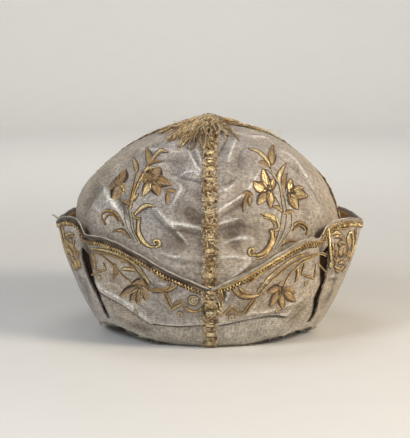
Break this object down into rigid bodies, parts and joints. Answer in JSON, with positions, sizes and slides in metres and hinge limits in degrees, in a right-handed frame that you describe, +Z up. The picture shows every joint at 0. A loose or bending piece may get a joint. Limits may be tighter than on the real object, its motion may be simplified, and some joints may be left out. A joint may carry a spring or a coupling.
{
  "type": "embroidered cap",
  "caption": "Soft domed silk cap with a lined turned-up cuff, metal braid on its seams and edge and a flat tassel on top, worn on the head.",
  "frame": {"origin": "centre of the cap's bounding box at the bottom, on the surface that the rim rests on", "axes": "+Z up to the tassel, -Y towards the front seam, +X towards the viewer's right"},
  "size_m": [0.265, 0.2414, 0.1825],
  "materials": {
    "silk": "aged satin, creased",
    "lining": "plain brown cloth",
    "metal_thread": "gilt thread, partly tarnished"
  },
  "bodies": {
    "root": {"gore_front_left": "silk", "gore_front_right": "silk", "gore_back_left": "silk", "gore_back_right": "silk", "crown_braid_front": "metal_thread", "crown_braid_right": "metal_thread", "crown_braid_back": "metal_thread", "crown_braid_left": "metal_thread", "cuff_left": "silk", "cuff_right": "silk", "cuff_lining_left": "lining", "cuff_lining_right": "lining", "cuff_edging_left": "metal_thread", "cuff_edging_right": "metal_thread", "cuff_braid_front": "metal_thread", "cuff_braid_back": "metal_thread", "tassel": "metal_thread"}
  },
  "joints": []
}
